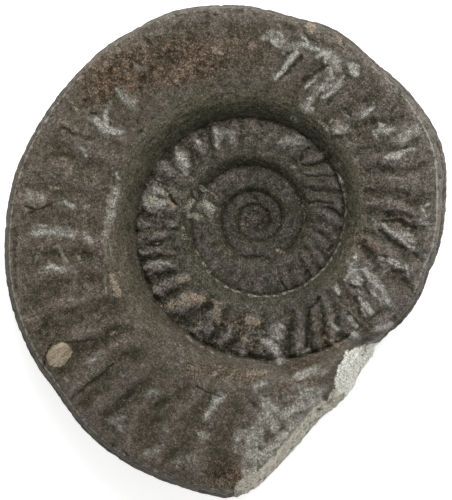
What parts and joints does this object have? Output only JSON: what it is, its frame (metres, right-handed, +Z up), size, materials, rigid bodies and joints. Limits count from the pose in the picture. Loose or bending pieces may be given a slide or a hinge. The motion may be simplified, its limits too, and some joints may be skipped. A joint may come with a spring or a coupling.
{
  "type": "fossil ammonite",
  "caption": "Open-coiled ammonite fossil in weathered grey-brown stone, with sickle-shaped ribs, a keeled edge and a broken mouth, lying flat.",
  "frame": {"origin": "on the surface it lies on, under the middle of its bounding box", "axes": "+Z up out of the upper flank, +Y across the broken mouth's point to the far edge, +X to the right in the reference view"},
  "size_m": [0.1612, 0.1802, 0.0437],
  "materials": {
    "fossil_stone": "matte"
  },
  "bodies": {
    "root": {"ammonite": "fossil_stone"}
  },
  "joints": []
}
